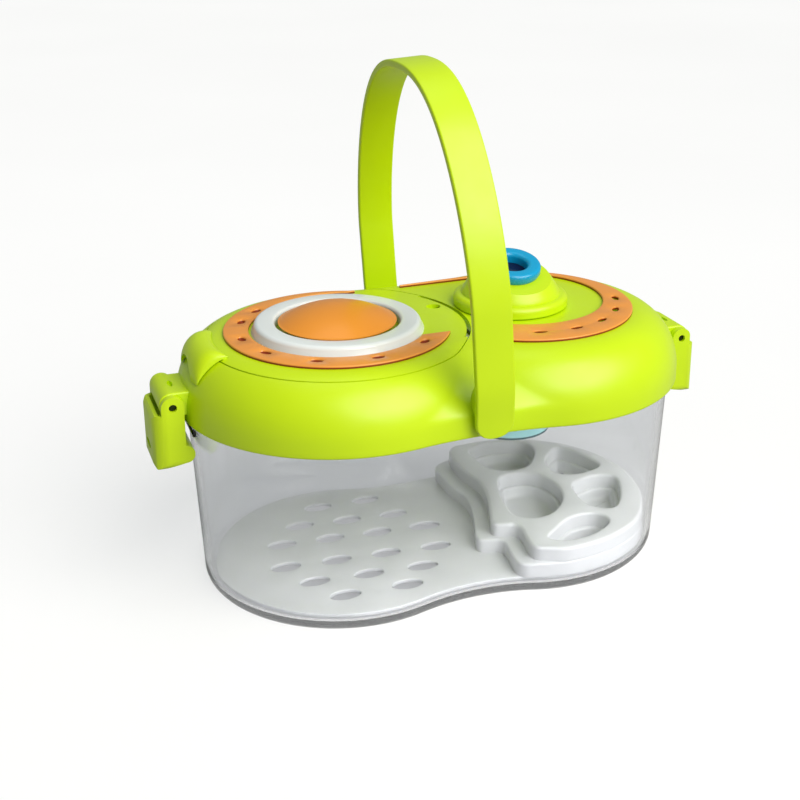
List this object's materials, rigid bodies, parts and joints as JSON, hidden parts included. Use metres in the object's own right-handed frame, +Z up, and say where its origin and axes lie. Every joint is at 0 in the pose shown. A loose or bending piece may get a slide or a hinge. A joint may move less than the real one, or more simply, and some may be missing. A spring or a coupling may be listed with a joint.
{
  "type": "bug catcher jar",
  "caption": "Two-lobed clear collecting jar with a lift-off lid, a round sprung-button hatch, a turning viewer, end latches and a swinging carry handle.",
  "frame": {"origin": "middle of the tub's foot, on the surface that the jar stands on", "axes": "+X along the two lobes towards the viewer, +Y to the back, +Z up"},
  "size_m": [0.1936, 0.11, 0.1697],
  "materials": {
    "clear_plastic": "clear polished",
    "grey_tray": "satin moulded",
    "lime_plastic": "satin moulded",
    "orange_trim": "satin moulded",
    "orange_dome": "gloss",
    "white_plastic": "gloss",
    "blue_plastic": "satin moulded",
    "teal_plastic": "gloss",
    "dark_lens": "polished",
    "cyan_tube": "clear polished",
    "lens": "polished",
    "steel": "satin"
  },
  "bodies": {
    "tub": {"clear_tub": "clear_plastic", "floor_tray": "grey_tray", "cell_tray_lower": "grey_tray", "cell_tray_upper": "grey_tray"},
    "lid": {"lid_shell": "lime_plastic", "vent_crescent_right": "orange_trim", "hatch_hinge_pin": "steel", "latch_pin_left": "steel", "latch_pin_right": "steel"},
    "hatch": {"hatch_plate": "lime_plastic", "vent_crescent_left": "orange_trim", "dome_bezel": "white_plastic", "button_guide": "white_plastic", "guide_screws": "steel", "button_spring": "steel"},
    "button": {"dome_button": "orange_dome", "button_clip": "steel"},
    "viewer": {"viewer_housing": "lime_plastic", "eyepiece_ring": "blue_plastic", "eyepiece_lens": "dark_lens", "viewing_tube": "cyan_tube", "objective_lens": "lens", "lens_rim": "teal_plastic", "viewer_retainer": "steel"},
    "handle": {"carry_handle": "lime_plastic"},
    "latch_left": {"latch_lever_left": "lime_plastic"},
    "latch_right": {"latch_lever_right": "lime_plastic"}
  },
  "joints": [
    {"name": "lid_lift", "type": "slide", "parent": "tub", "child": "lid", "axis": [0, 0, 1], "range_m": [0, 0.06]},
    {"name": "hatch_hinge", "type": "hinge", "parent": "lid", "child": "hatch", "pos_m": [0.0065, 0, 0.0832], "axis": [0, 1, 0], "range_deg": [0, 60]},
    {"name": "dome_press", "type": "slide", "parent": "hatch", "child": "button", "axis": [0, 0, -1], "range_m": [0, 0.0025], "stiffness_N_per_m": 400, "springref_m": -0.002, "deforming": ["button_spring"]},
    {"name": "viewer_turn", "type": "hinge", "parent": "lid", "child": "viewer", "pos_m": [0.03, 0.0045, 0.0844], "axis": [0, 0, 1], "continuous": true},
    {"name": "handle_swing", "type": "hinge", "parent": "lid", "child": "handle", "pos_m": [0, 0, 0.071], "axis": [0, 1, 0], "range_deg": [-66.5, 73.5]},
    {"name": "latch_left_flip", "type": "hinge", "parent": "lid", "child": "latch_left", "pos_m": [-0.0893, 0, 0.069], "axis": [0, 1, 0], "range_deg": [0, 110]},
    {"name": "latch_right_flip", "type": "hinge", "parent": "lid", "child": "latch_right", "pos_m": [0.0893, 0, 0.069], "axis": [0, -1, 0], "range_deg": [0, 110]}
  ]
}
